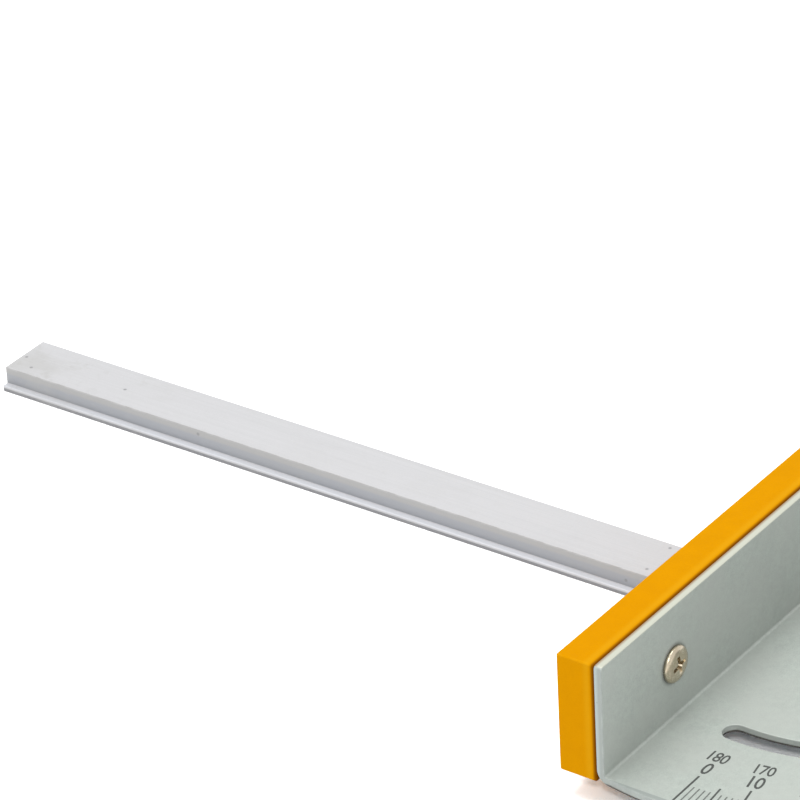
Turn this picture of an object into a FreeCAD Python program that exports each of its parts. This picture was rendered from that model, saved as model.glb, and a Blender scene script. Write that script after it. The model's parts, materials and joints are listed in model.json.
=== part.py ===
import FreeCAD, Part
import math
import os

# A mitre gauge for a saw or router table: a protractor head with a facing board swivels
# on a T-section bar that slides in the table's mitre slot, and a knob locks the head.
#
# Frame, in millimetres: the origin is on the pivot's axis at the underside of the bar.
# +Y runs along the bar to its far tip, +X along the fence and +Z up.

# --- Mitre bar ---------------------------------------------------------------
bar_length = 450.0
bar_tail = 139.0           # from the pivot back to the bar's rear end
bar_width = 19.0           # the rib that guides in the table's slot
bar_height = 7.8
flange_width = 23.0
flange_thickness = 2.0
bar_edge_radius = 0.35

# --- Head: bent sheet bracket and facing board --------------------------------
head_length = 211.6
sheet = 2.5                # thickness of the bracket's sheet
wall_inner_y = 21.7        # from the pivot to the inside of the upright wall
head_top = 46.2
outer_bend_radius = 4.5
inner_bend_radius = 0.8    # the press squares the inside of the bend
wall_corner_radius = 1.2
sheet_edge_radius = 0.4
plate_gap = 0.1            # between the bar's top and the underside of the plate
board_thickness = 12.2
board_gap = 0.3            # between the bar's top and the underside of the board
board_edge_radius = 0.6

# --- Arc slot and lock ---------------------------------------------------------
slot_radius = 68.2
slot_width = 7.4
slot_overrun = 2.5         # degrees that the slot runs past each end of the half circle
face_gap = 0.05            # between flat faces that turn on each other
lock_bolt_radius = 2.95
lock_hole_radius = 3.0
lock_washer_radius = 9.0
lock_washer_hole = 3.2
washer_thickness = 1.6

# --- Knob ------------------------------------------------------------------------
knob_radius = 16.0
knob_neck_radius = 8.5
knob_neck_height = 3.0
knob_flare = 3.5
knob_height = 24.5
knob_crown_radius = 3.5
flute_count = 7
flute_radius = 5.5
flute_depth = 2.2
cap_radius = 8.0
cap_thickness = 1.6
cap_dome = 0.5
cap_clearance = 0.1
lock_head_flats = 10.0
lock_head_height = 4.0
lock_head_cover = 1.9      # room between the bolt's head and the cap
lock_bolt_end = 0.8        # height of the bolt's end above the bar's underside

# --- Pivot -----------------------------------------------------------------------
pivot_radius = 4.0
pivot_head_radius = 8.0
bush_radius = 5.5
bush_running_gap = 0.05
bush_end_play = 0.1
pivot_washer_radius = 10.5
nut_flats = 13.0
nut_height = 8.0
nut_chamfer = 0.8
nut_ring_radius = 5.4
nut_ring_height = 2.0
pivot_thread_beyond = 1.6
pivot_end_chamfer = 0.8
assembly_gap = 0.05        # round a fastener that is held still

# --- Fence screws -------------------------------------------------------------------
fence_screw_x = 69.8
fence_screw_z = 27.7
fence_screw_radius = 2.1
fence_screw_hole = 2.6
fence_screw_length = 11.0
fence_head_radius = 5.6
fence_head_height = 2.1

# --- Pointer --------------------------------------------------------------------------
pointer_thickness = 1.2
pointer_width = 12.0
pointer_foot = 20.0
pointer_step_gap = 1.6     # between the plate's rim and the pointer's riser
pointer_lift = 0.4         # between the plate and the pointer's tongue
pointer_reach = 4.4        # how far the tongue reaches over the plate
pointer_tip_width = 1.0
pointer_screw_radius = 2.0
pointer_slot_length = 4.0
pointer_head_radius = 4.0
pointer_head_height = 2.2
pointer_washer_radius = 4.6
pointer_washer_thickness = 0.8
pointer_screw_length = 6.5

# --- Worked out from the driving dimensions ------------------------------------------
plate_bottom = bar_height + plate_gap
plate_top = plate_bottom + sheet
wall_outer_y = wall_inner_y + sheet
bend_start_y = wall_outer_y - outer_bend_radius
rim_radius = math.hypot(head_length / 2, bend_start_y)
board_bottom = bar_height + board_gap
bar_tip_y = bar_length - bar_tail
lock_washer_bottom = plate_top + face_gap
knob_bottom = lock_washer_bottom + washer_thickness + face_gap
knob_top = knob_bottom + knob_height
cap_seat = knob_top - cap_thickness
lock_head_bottom = cap_seat - lock_head_cover - lock_head_height
pivot_cone_top = pivot_head_radius - pivot_radius
pivot_washer_bottom = plate_top + bush_end_play
nut_bottom = pivot_washer_bottom + washer_thickness
nut_top = nut_bottom + nut_height
pointer_riser_y = -(rim_radius + pointer_step_gap)
pointer_foot_end_y = pointer_riser_y - pointer_thickness - pointer_foot
pointer_screw_y = pointer_riser_y - pointer_thickness - pointer_foot / 2
pointer_foot_top = bar_height + pointer_thickness
pointer_tongue = plate_top + pointer_lift
pointer_head_bottom = pointer_foot_top + pointer_washer_thickness

UP = FreeCAD.Vector(0, 0, 1)
BACK = FreeCAD.Vector(0, -1, 0)


def at(x, y, z):
    return FreeCAD.Vector(x, y, z)


def cylinder(radius, base, height, direction=UP):
    return Part.makeCylinder(radius, height, base, direction)


def prism(corners, travel):
    """A solid with the outline of a closed polygon, drawn out along travel."""
    return Part.Face(Part.makePolygon(corners + corners[:1])).extrude(travel)


def washer(outer, inner, base, thickness):
    return cylinder(outer, base, thickness).cut(cylinder(inner, base, thickness))


def hexagon(flats, base, height):
    """A hexagonal prism, with flats as the distance across its flats."""
    corner = flats / math.sqrt(3)
    turns = [math.radians(60 * step) for step in range(6)]
    corners = [base + at(corner * math.cos(turn), corner * math.sin(turn), 0) for turn in turns]
    return prism(corners, UP * height)


def revolved(profile, axis_point, axis=UP):
    """Turns a closed profile of (radius, height) points about an axis through axis_point."""
    edges = [Part.LineSegment(at(r0, 0, z0), at(r1, 0, z1)).toShape()
             for (r0, z0), (r1, z1) in zip(profile, profile[1:] + profile[:1])]
    solid = Part.Face(Part.Wire(edges)).revolve(at(0, 0, 0), UP, 360)
    solid.Placement = FreeCAD.Placement(axis_point, FreeCAD.Rotation(UP, axis))
    return solid


def rounded(solid, radius, chosen):
    """Rounds the edges whose bounding box passes the test."""
    return solid.makeFillet(radius, [edge for edge in solid.Edges if chosen(edge.BoundBox)])


def pan_head_screw(head_radius, head_height, shank_radius, length, seat, axis):
    """A pan-head screw with a cross recess: its head stands on seat and its shank goes against axis."""
    head = revolved([(0, 0), (head_radius, 0), (head_radius, head_height * 0.45),
                     (head_radius * 0.8, head_height * 0.85), (head_radius * 0.5, head_height),
                     (0, head_height)], seat, axis)
    shank = cylinder(shank_radius, seat, length, axis * -1)
    recess_half = head_radius * 0.55
    recess_depth = head_height * 0.6
    blade = head_radius * 0.2
    screw = head.fuse(shank)
    for long_side, short_side in ((recess_half, blade / 2), (blade / 2, recess_half)):
        slot = Part.makeBox(2 * long_side, 2 * short_side, recess_depth,
                            at(-long_side, -short_side, head_height - recess_depth))
        slot.Placement = FreeCAD.Placement(seat, FreeCAD.Rotation(UP, axis))
        screw = screw.cut(slot)
    return screw.removeSplitter()


def mitre_bar():
    half = bar_width / 2
    lip = flange_width / 2
    section = [(-lip, 0), (lip, 0), (lip, flange_thickness), (half, flange_thickness),
               (half, bar_height), (-half, bar_height), (-half, flange_thickness),
               (-lip, flange_thickness)]
    bar = prism([at(x, -bar_tail, z) for x, z in section], at(0, bar_length, 0))
    bar = rounded(bar, bar_edge_radius, lambda box: box.YLength > 1 and box.ZMin > bar_height - 0.01)
    bar = bar.cut(revolved([(0, 0), (pivot_head_radius + assembly_gap, 0),
                            (pivot_radius + assembly_gap, pivot_cone_top),
                            (pivot_radius + assembly_gap, bar_height), (0, bar_height)], at(0, 0, 0)))
    bar = bar.cut(cylinder(lock_hole_radius, at(0, -slot_radius, 0), bar_height))
    return bar.cut(cylinder(pointer_screw_radius + assembly_gap, at(0, pointer_screw_y, 0), bar_height))


def bracket_profile():
    """The bent sheet's section across the bend: a short foot, the bend and the upright wall."""
    half_turn = math.sqrt(0.5)

    def bend(radius, start_y, base, start, end):
        middle = at(0, start_y + radius * half_turn, base + radius * (1 - half_turn))
        return Part.Arc(start, middle, end).toShape()

    inner_start_y = wall_inner_y - inner_bend_radius
    foot_low = at(0, bend_start_y, plate_bottom)
    foot_high = at(0, bend_start_y, plate_top)
    inner_start = at(0, inner_start_y, plate_top)
    outer_end = at(0, wall_outer_y, plate_bottom + outer_bend_radius)
    inner_end = at(0, wall_inner_y, plate_top + inner_bend_radius)
    outer_top = at(0, wall_outer_y, head_top)
    inner_top = at(0, wall_inner_y, head_top)
    return Part.Wire([bend(outer_bend_radius, bend_start_y, plate_bottom, foot_low, outer_end),
                      Part.LineSegment(outer_end, outer_top).toShape(),
                      Part.LineSegment(outer_top, inner_top).toShape(),
                      Part.LineSegment(inner_top, inner_end).toShape(),
                      bend(inner_bend_radius, inner_start_y, plate_top, inner_end, inner_start),
                      Part.LineSegment(inner_start, foot_high).toShape(),
                      Part.LineSegment(foot_high, foot_low).toShape()])


def upright_wall():
    wall = Part.Face(bracket_profile()).extrude(at(head_length, 0, 0))
    wall.translate(at(-head_length / 2, 0, 0))
    wall = rounded(wall, wall_corner_radius,
                   lambda box: box.ZMin > head_top - 0.01 and box.XLength < 0.01)
    return rounded(wall, sheet_edge_radius,
                   lambda box: box.YLength < 0.01 and box.ZMin > head_top - wall_corner_radius - 0.01)


def arc_slot():
    """The slot's solid: a ring sector with round ends, running past the half circle at both ends."""
    inner = slot_radius - slot_width / 2
    outer = slot_radius + slot_width / 2
    start = 180 - slot_overrun
    sweep = 180 + 2 * slot_overrun
    base = at(0, 0, plate_bottom)
    sector = Part.makeCylinder(outer, sheet, base, UP, sweep)
    sector = sector.cut(cylinder(inner, base, sheet))
    sector.rotate(at(0, 0, 0), UP, start)
    for angle in (start, start + sweep):
        turn = math.radians(angle)
        centre = at(slot_radius * math.cos(turn), slot_radius * math.sin(turn), plate_bottom)
        sector = sector.fuse(cylinder(slot_width / 2, centre, sheet))
    return sector


def protractor_bracket():
    plate = cylinder(rim_radius, at(0, 0, plate_bottom), sheet)
    beyond_bend = Part.makeBox(2 * rim_radius, rim_radius, sheet,
                               at(-rim_radius, bend_start_y, plate_bottom))
    bracket = plate.cut(beyond_bend).fuse(upright_wall()).removeSplitter()
    bracket = bracket.cut(arc_slot())
    bracket = bracket.cut(cylinder(bush_radius + bush_running_gap, at(0, 0, plate_bottom), sheet))
    for side in (-1, 1):
        hole = at(side * fence_screw_x, wall_outer_y, fence_screw_z)
        bracket = bracket.cut(cylinder(fence_screw_hole, hole, sheet, BACK))
    return bracket


def fence_board():
    board = Part.makeBox(head_length, board_thickness, head_top - board_bottom,
                         at(-head_length / 2, wall_outer_y, board_bottom))
    board = board.makeFillet(board_edge_radius, board.Edges)
    depth = fence_screw_length - sheet + 1.0
    for side in (-1, 1):
        mouth = at(side * fence_screw_x, wall_outer_y, fence_screw_z)
        pilot = cylinder(fence_screw_radius + assembly_gap, mouth, depth, BACK * -1)
        board = board.cut(pilot)
    return board


def fence_screw(side):
    seat = at(side * fence_screw_x, wall_inner_y, fence_screw_z)
    return pan_head_screw(fence_head_radius, fence_head_height, fence_screw_radius,
                          fence_screw_length, seat, BACK)


def pivot_bolt():
    end = nut_top + pivot_thread_beyond
    return revolved([(0, 0), (pivot_head_radius, 0), (pivot_radius, pivot_cone_top),
                     (pivot_radius, end - pivot_end_chamfer), (pivot_radius - pivot_end_chamfer, end),
                     (0, end)], at(0, 0, 0))


def pivot_bush():
    return washer(bush_radius, pivot_radius + assembly_gap, at(0, 0, bar_height),
                  pivot_washer_bottom - bar_height)


def pivot_washer():
    return washer(pivot_washer_radius, pivot_radius + 0.2, at(0, 0, pivot_washer_bottom), washer_thickness)


def pivot_nut():
    """A lock nut: a hexagon chamfered above and below, with a pocket for the ring in its top."""
    corner = nut_flats / math.sqrt(3) + 0.1
    envelope = revolved([(0, nut_bottom), (corner - nut_chamfer, nut_bottom),
                         (corner, nut_bottom + nut_chamfer / 2), (corner, nut_top - nut_ring_height),
                         (nut_ring_radius + 0.6, nut_top), (0, nut_top)], at(0, 0, 0))
    nut = hexagon(nut_flats, at(0, 0, nut_bottom), nut_height).common(envelope)
    nut = nut.cut(cylinder(pivot_radius + assembly_gap, at(0, 0, nut_bottom), nut_height))
    pocket = at(0, 0, nut_top - nut_ring_height)
    return nut.cut(cylinder(nut_ring_radius, pocket, nut_ring_height))


def pivot_nut_ring():
    return washer(nut_ring_radius - assembly_gap, pivot_radius + assembly_gap,
                  at(0, 0, nut_top - nut_ring_height), nut_ring_height - 0.2)


def lock_washer():
    return washer(lock_washer_radius, lock_washer_hole, at(0, -slot_radius, lock_washer_bottom),
                  washer_thickness)


def knob_body():
    """A fluted round knob on a short neck, with a pocket for the bolt's head under its cap."""
    crown = [(knob_radius - knob_crown_radius * (1 - math.cos(math.radians(turn))),
              knob_height - knob_crown_radius * (1 - math.sin(math.radians(turn))))
             for turn in range(0, 91, 15)]
    profile = [(0, 0), (knob_neck_radius, 0), (knob_neck_radius, knob_neck_height),
               (knob_radius - 1.0, knob_neck_height + knob_flare - 1.0),
               (knob_radius, knob_neck_height + knob_flare)]
    base = at(0, -slot_radius, knob_bottom)
    knob = revolved(profile + crown + [(0, knob_height)], base)
    flute_centre = knob_radius + flute_radius - flute_depth
    for step in range(flute_count):
        turn = math.radians(90 + 360 * step / flute_count)
        centre = base + at(flute_centre * math.cos(turn), flute_centre * math.sin(turn), 0)
        knob = knob.cut(cylinder(flute_radius, centre, knob_height))
    knob = knob.cut(cylinder(cap_radius + cap_clearance, at(0, -slot_radius, cap_seat), cap_thickness))
    pocket = hexagon(lock_head_flats + 2 * assembly_gap, at(0, -slot_radius, lock_head_bottom),
                     cap_seat - lock_head_bottom)
    knob = knob.cut(pocket)
    return knob.cut(cylinder(lock_bolt_radius + assembly_gap, base, knob_height))


def knob_cap():
    """A disc with a low dome that closes the knob's pocket."""
    dome = [(cap_radius * math.cos(math.radians(turn)),
             cap_thickness - cap_dome + cap_dome * math.sin(math.radians(turn)))
            for turn in range(0, 90, 15)]
    return revolved([(0, 0), (cap_radius, 0)] + dome + [(0, cap_thickness)], at(0, -slot_radius, cap_seat))


def knob_bolt():
    head = hexagon(lock_head_flats, at(0, -slot_radius, lock_head_bottom), lock_head_height)
    shank = cylinder(lock_bolt_radius, at(0, -slot_radius, lock_bolt_end), lock_head_bottom - lock_bolt_end)
    return head.fuse(shank).removeSplitter()


def pointer():
    """A stepped strip: its foot lies on the bar and its pointed tongue reaches over the scale."""
    half = pointer_width / 2
    tongue_end = -rim_radius + pointer_reach
    riser_back = pointer_riser_y - pointer_thickness
    side_view = [(pointer_foot_end_y, bar_height), (pointer_riser_y, bar_height),
                 (pointer_riser_y, pointer_tongue), (tongue_end, pointer_tongue),
                 (tongue_end, pointer_tongue + pointer_thickness),
                 (riser_back, pointer_tongue + pointer_thickness), (riser_back, pointer_foot_top),
                 (pointer_foot_end_y, pointer_foot_top)]
    strip = prism([at(-half, y, z) for y, z in side_view], at(pointer_width, 0, 0))
    tip = pointer_tip_width / 2
    plan_view = [(-half, pointer_foot_end_y), (half, pointer_foot_end_y), (half, pointer_riser_y),
                 (tip, tongue_end), (-tip, tongue_end), (-half, pointer_riser_y)]
    strip = strip.common(prism([at(x, y, bar_height) for x, y in plan_view], UP * plate_top))
    slot_half = pointer_slot_length / 2
    slot_radius_here = pointer_screw_radius + 0.2
    slot = Part.makeBox(2 * slot_radius_here, pointer_slot_length, pointer_thickness,
                        at(-slot_radius_here, pointer_screw_y - slot_half, bar_height))
    for end in (-slot_half, slot_half):
        slot = slot.fuse(cylinder(slot_radius_here, at(0, pointer_screw_y + end, bar_height),
                                  pointer_thickness))
    return strip.cut(slot)


def pointer_washer():
    return washer(pointer_washer_radius, pointer_screw_radius + 0.2,
                  at(0, pointer_screw_y, pointer_foot_top), pointer_washer_thickness)


def pointer_screw():
    return pan_head_screw(pointer_head_radius, pointer_head_height, pointer_screw_radius,
                          pointer_screw_length, at(0, pointer_screw_y, pointer_head_bottom), UP)


def write_parts():
    pieces = {
        "mitre_bar": mitre_bar(),
        "protractor_bracket": protractor_bracket(),
        "fence_board": fence_board(),
        "fence_screw_left": fence_screw(-1),
        "fence_screw_right": fence_screw(1),
        "pivot_bolt": pivot_bolt(),
        "pivot_bush": pivot_bush(),
        "pivot_washer": pivot_washer(),
        "pivot_nut": pivot_nut(),
        "pivot_nut_ring": pivot_nut_ring(),
        "lock_washer": lock_washer(),
        "knob_body": knob_body(),
        "knob_cap": knob_cap(),
        "knob_bolt": knob_bolt(),
        "pointer": pointer(),
        "pointer_washer": pointer_washer(),
        "pointer_screw": pointer_screw(),
    }
    os.makedirs("parts", exist_ok=True)
    for name, solid in pieces.items():
        solid.exportStep(f"parts/{name}.step")


write_parts()
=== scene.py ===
"""The looks of a mitre gauge: its pieces, their finishes and a small studio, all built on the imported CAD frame."""

import json
from contextlib import contextmanager
from math import atan2, cos, pi, radians, sin, tau

import bmesh
import bpy
from bpy.props import FloatProperty, FloatVectorProperty, IntProperty, PointerProperty
from mathutils import Matrix, Vector

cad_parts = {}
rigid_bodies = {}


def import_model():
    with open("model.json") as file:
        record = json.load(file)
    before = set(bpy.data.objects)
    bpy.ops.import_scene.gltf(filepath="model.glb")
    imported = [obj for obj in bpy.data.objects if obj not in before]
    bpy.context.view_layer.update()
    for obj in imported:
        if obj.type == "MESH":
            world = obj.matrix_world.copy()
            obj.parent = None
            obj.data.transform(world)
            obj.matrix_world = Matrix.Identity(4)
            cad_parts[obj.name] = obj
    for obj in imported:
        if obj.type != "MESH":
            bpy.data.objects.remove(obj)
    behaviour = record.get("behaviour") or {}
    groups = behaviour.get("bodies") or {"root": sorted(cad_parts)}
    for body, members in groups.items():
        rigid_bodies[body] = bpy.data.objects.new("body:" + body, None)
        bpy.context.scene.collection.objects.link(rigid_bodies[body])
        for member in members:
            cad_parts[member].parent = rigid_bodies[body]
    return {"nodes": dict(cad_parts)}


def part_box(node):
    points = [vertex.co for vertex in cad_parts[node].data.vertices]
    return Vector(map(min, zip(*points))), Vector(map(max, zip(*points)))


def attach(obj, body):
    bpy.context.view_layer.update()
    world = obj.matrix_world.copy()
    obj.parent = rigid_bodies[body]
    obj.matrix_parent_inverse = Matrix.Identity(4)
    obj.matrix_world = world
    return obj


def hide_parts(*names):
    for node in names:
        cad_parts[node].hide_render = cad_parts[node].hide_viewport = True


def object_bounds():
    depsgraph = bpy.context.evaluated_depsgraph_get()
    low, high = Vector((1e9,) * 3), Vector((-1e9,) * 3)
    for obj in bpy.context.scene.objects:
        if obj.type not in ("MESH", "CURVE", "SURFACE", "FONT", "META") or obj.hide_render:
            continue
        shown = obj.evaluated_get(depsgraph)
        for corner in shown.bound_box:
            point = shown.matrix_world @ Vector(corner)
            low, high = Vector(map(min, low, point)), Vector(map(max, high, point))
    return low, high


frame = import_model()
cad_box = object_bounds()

bl_info = {
    "name": "Mitre Gauge Looks",
    "version": (1, 0, 0),
    "blender": (4, 5, 0),
    "location": "View3D > Sidebar > Gauge",
    "description": "Builds the pieces, finishes and studio of a mitre gauge round its CAD frame",
    "category": "Object",
}

MM = 0.001
QUARTER = Matrix.Rotation(pi / 2, 4, "X")
BOX = {name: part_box(name) for name in frame["nodes"]}
BRACKET_LOW, BRACKET_HIGH = BOX["protractor_bracket"]
BAR_LOW, BAR_HIGH = BOX["mitre_bar"]
RIM_RADIUS = -BRACKET_LOW.y
HALF_HEAD = BOX["fence_board"][1].x
BOARD_SCREWS = {node: ((low + high) / 2, (high.x - low.x) / 2) for node, (low, high) in BOX.items()
                if node.startswith("fence_screw")}
BAR_DENTS = [tuple(MM * part for part in place) for place in (
    (-1.1, 309.1, 7.8), (-5.6, 303.6, 7.8), (-1.4, 269.3, 7.8), (7.1, 72.5, 7.8), (-6.1, 72.1, 7.8),
    (-9.5, 77.3, 4.0), (-9.5, 234.6, 6.2), (3.1, -61.0, 7.8), (6.5, -131.0, 7.8))]


def length(name, description, default):
    return FloatProperty(name=name, description=description, default=default, min=0.0, unit="LENGTH",
                         precision=5)


def turn(name, description, degrees):
    return FloatProperty(name=name, description=description, default=radians(degrees), subtype="ANGLE")


def power(name, description, default):
    return FloatProperty(name=name, description=description, default=default, min=0.0, unit="POWER")


def colour(name, description, default):
    return FloatVectorProperty(name=name, description=description, default=default, min=0.0, max=1.0,
                               subtype="COLOR")


class GaugeSizes(bpy.types.PropertyGroup):
    """Sizes that the CAD boxes don't give."""

    rib_width: length("Rib width", "Width of the bar's upper rib", 19 * MM)
    flange_height: length("Flange height", "Thickness of the bar's flange", 2 * MM)
    bar_rounding: length("Bar rounding", "Radius on the bar's long edges", 0.3 * MM)
    sheet: length("Sheet", "Thickness of the bracket's sheet", 2.5 * MM)
    bend_outside: length("Bend outside", "Outer radius of the sheet's bend", 4.5 * MM)
    bend_inside: length("Bend inside", "Inner radius of the sheet's bend", 0.8 * MM)
    wall_corner: length("Wall corner", "Radius of the wall's top corners", 1.2 * MM)
    sheet_rounding: length("Sheet rounding", "Radius on the sheet's cut edges", 0.32 * MM)
    slot_radius: length("Slot radius", "Radius to the middle of the arc slot", 68.2 * MM)
    slot_width: length("Slot width", "Width of the arc slot", 7.4 * MM)
    board_rounding: length("Board rounding", "Radius on the facing board's edges", 0.6 * MM)
    long_mark: length("Long marks start", "Radius where each 10 degree mark starts", 91.5 * MM)
    middle_mark: length("Middle marks start", "Radius where each 5 degree mark starts", 94 * MM)
    short_mark: length("Short marks start", "Radius where each degree mark starts", 96.7 * MM)
    mark_end: length("Marks end", "Radius where every mark ends", 105.3 * MM)
    print_height: length("Print height", "Thickness of the printed ink", 0.02 * MM)
    outer_digits: length("Outer digits", "Height of the outer row of numbers", 5.7 * MM)
    inner_digits: length("Inner digits", "Height of the inner row of numbers", 4.7 * MM)
    knob_flutes: IntProperty(name="Knob flutes", description="Number of grooves round the knob", default=7, min=3)


class GaugeColours(bpy.types.PropertyGroup):
    """Base colours of the finishes."""

    bar: colour("Bar", "Mill-finished aluminium", (0.368, 0.368, 0.377))
    coat: colour("Coat", "Silver-grey coat of the bracket", (0.296, 0.326, 0.300))
    board: colour("Board", "Orange facing board", (0.415, 0.176, 0.0))
    nickel: colour("Nickel", "Plating of the small screws", (0.50, 0.44, 0.34))
    zinc: colour("Zinc", "Plating of the bolts, nut and washers", (0.46, 0.47, 0.48))
    nylon: colour("Nylon", "Ring in the lock nut", (0.45, 0.48, 0.50))
    knob: colour("Knob", "Moulded plastic of the knob", (0.016, 0.016, 0.0175))
    ink: colour("Ink", "Printed scale", (0.04, 0.043, 0.04))
    floor: colour("Floor", "Studio floor", (0.96, 0.96, 0.96))


class GaugeStudio(bpy.types.PropertyGroup):
    """Light and camera."""

    sky: FloatProperty(name="Sky", description="Strength of the even light from all round", default=1.12, min=0.0)
    key_power: power("Key light", "Power of the large soft light overhead", 11.2)
    side_power: power("Side light", "Power of the small light at the head's side", 10.5)
    aim: FloatVectorProperty(name="Aim", description="Point in the middle of the view", subtype="TRANSLATION",
                             unit="LENGTH", default=(-0.08683, 0.09854, 0.09788), precision=5)
    distance: length("Distance", "From the camera to the aim point", 1.40995)
    heading: turn("Heading", "View direction, turned from +Y towards +X", 53.2783)
    tilt: turn("Tilt", "How far the camera looks down", 30.1941)
    roll: turn("Roll", "Turn of the camera about its own view direction", -3.0883)
    lens: FloatProperty(name="Lens", description="Focal length for a 36 mm wide sensor", default=230.34, min=1.0,
                        unit="CAMERA")


# --- Finishes ---------------------------------------------------------------------------------------


class Signal:
    """A number socket that arithmetic works on: each operator adds its Math node."""

    def __init__(self, finish, socket):
        self.finish = finish
        self.socket = socket

    def joined(self, operation, first, second):
        return self.finish.node("ShaderNodeMath", {"operation": operation}, {0: first, 1: second})

    def __add__(self, other):
        return self.joined("ADD", self, other)

    def __sub__(self, other):
        return self.joined("SUBTRACT", self, other)

    def __rsub__(self, other):
        return self.joined("SUBTRACT", other, self)

    def __mul__(self, other):
        return self.joined("MULTIPLY", self, other)

    def __pow__(self, other):
        return self.joined("POWER", self, other)

    def __abs__(self):
        return self.joined("ABSOLUTE", self, 0.0)

    __radd__ = __add__
    __rmul__ = __mul__

    def larger(self, other):
        return self.joined("MAXIMUM", self, other)

    def smaller(self, other):
        return self.joined("MINIMUM", self, other)

    def rise(self, start, end):
        """0 at start, 1 at end and a smooth step between them."""
        return self.finish.node("ShaderNodeMapRange", {"interpolation_type": "SMOOTHSTEP"},
                                {"Value": self, "From Min": start, "From Max": end})

    def ramp(self, start, end):
        """A rise between two lengths in millimetres."""
        return self.rise(start * MM, end * MM)


class Finish:
    """A procedural material: a Principled shader and the nodes that feed it."""

    def __init__(self, name, **fixed):
        self.material = bpy.data.materials.new(name)
        self.material.use_nodes = True
        self.tree = self.material.node_tree
        self.tree.nodes.clear()
        self.shader = self.tree.nodes.new("ShaderNodeBsdfPrincipled")
        output = self.tree.nodes.new("ShaderNodeOutputMaterial")
        self.tree.links.new(self.shader.outputs["BSDF"], output.inputs["Surface"])
        for socket, value in fixed.items():
            self.shader.inputs[socket.replace("_", " ")].default_value = value
        self.place = self.node("ShaderNodeTexCoord", output="Object")
        self.axes = self.split(self.place)

    def node(self, kind, settings=None, inputs=None, output=0):
        """Adds a node, sets it up, then fills or links its sockets; returns the output asked for."""
        made = self.tree.nodes.new(kind)
        for name, value in (settings or {}).items():
            setattr(made, name, value)
        for name, value in (inputs or {}).items():
            if isinstance(value, Signal):
                self.tree.links.new(value.socket, made.inputs[name])
            else:
                made.inputs[name].default_value = value
        return Signal(self, made.outputs[output])

    def split(self, vector):
        return [self.node("ShaderNodeSeparateXYZ", None, {0: vector}, axis) for axis in range(3)]

    def moved(self, stretch=(1, 1, 1), centre=(0, 0, 0), turn=(0, 0, 0)):
        """The piece's own coordinates, turned about a centre and stretched."""
        shifted = self.node("ShaderNodeVectorMath", {"operation": "SUBTRACT"}, {0: self.place, 1: centre})
        return self.node("ShaderNodeMapping", None, {"Vector": shifted, "Rotation": turn, "Scale": stretch})

    def noise(self, grain, detail=3.0, roughness=0.5, place=None):
        """Even noise whose lumps are about grain millimetres wide."""
        return self.node("ShaderNodeTexNoise", None,
                         {"Vector": place or self.place, "Scale": 1 / (grain * MM), "Detail": detail,
                          "Roughness": roughness})

    def spots(self, spacing, size, place=None):
        """Round spots, one or none in each cell of a spacing, both in millimetres."""
        vector = place or self.place
        settings = {"feature": "F1", "distance": "EUCLIDEAN"}
        inputs = {"Vector": vector, "Scale": 1 / (spacing * MM), "Randomness": 1.0}
        away = self.node("ShaderNodeTexVoronoi", settings, inputs, "Distance")
        pick = self.split(self.node("ShaderNodeTexVoronoi", settings, inputs, "Color"))[0]
        edge = size / spacing
        return (1 - away.rise(edge * 0.5, edge)) * pick.rise(0.45, 0.8)

    def blend(self, factor, first, second):
        """A colour between two others."""
        def ready(value):
            return value if isinstance(value, Signal) else (*value[:3], 1.0)
        return self.node("ShaderNodeMix", {"data_type": "RGBA"}, {0: factor, 6: ready(first), 7: ready(second)}, 2)

    def layered(self, tone, *coats):
        """A colour with (cover, colour) coats laid over it in turn."""
        for cover, coat in coats:
            tone = self.blend(cover, tone, coat)
        return tone

    def near_edges(self, low, high, width):
        """1 along the edges of a box and 0 from width metres in."""
        gap = [(top - bottom) / 2 - abs(axis - (top + bottom) / 2)
               for axis, bottom, top in zip(self.axes, low, high)]
        second = gap[0].smaller(gap[1]).larger(gap[0].larger(gap[1]).smaller(gap[2]))
        return 1 - second.rise(0.0, width)

    def from_axis(self, x, y):
        """Distance from an upright axis."""
        across, along = self.axes[0] - x, self.axes[1] - y
        return (across * across + along * along) ** 0.5

    def away(self, place):
        """Distance from a point."""
        return self.node("ShaderNodeVectorMath", {"operation": "DISTANCE"}, {0: self.place, 1: place}, "Value")

    def feed(self, base, rough, height, depth, metallic=None):
        """Links colour, roughness and a bump of the given depth in metres."""
        links = self.tree.links
        links.new(base.socket, self.shader.inputs["Base Color"])
        links.new(rough.socket, self.shader.inputs["Roughness"])
        if metallic is not None:
            links.new(metallic.socket, self.shader.inputs["Metallic"])
        bump = self.node("ShaderNodeBump", None, {"Height": height, "Distance": depth, "Strength": 1.0})
        links.new(bump.socket, self.shader.inputs["Normal"])
        return self.material


def shade(base, factor):
    """A colour made darker or lighter."""
    return tuple(min(1.0, part * factor) for part in base)


def tinted(base, red, green, blue):
    return tuple(min(1.0, part * by) for part, by in zip(base, (red, green, blue)))


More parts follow.
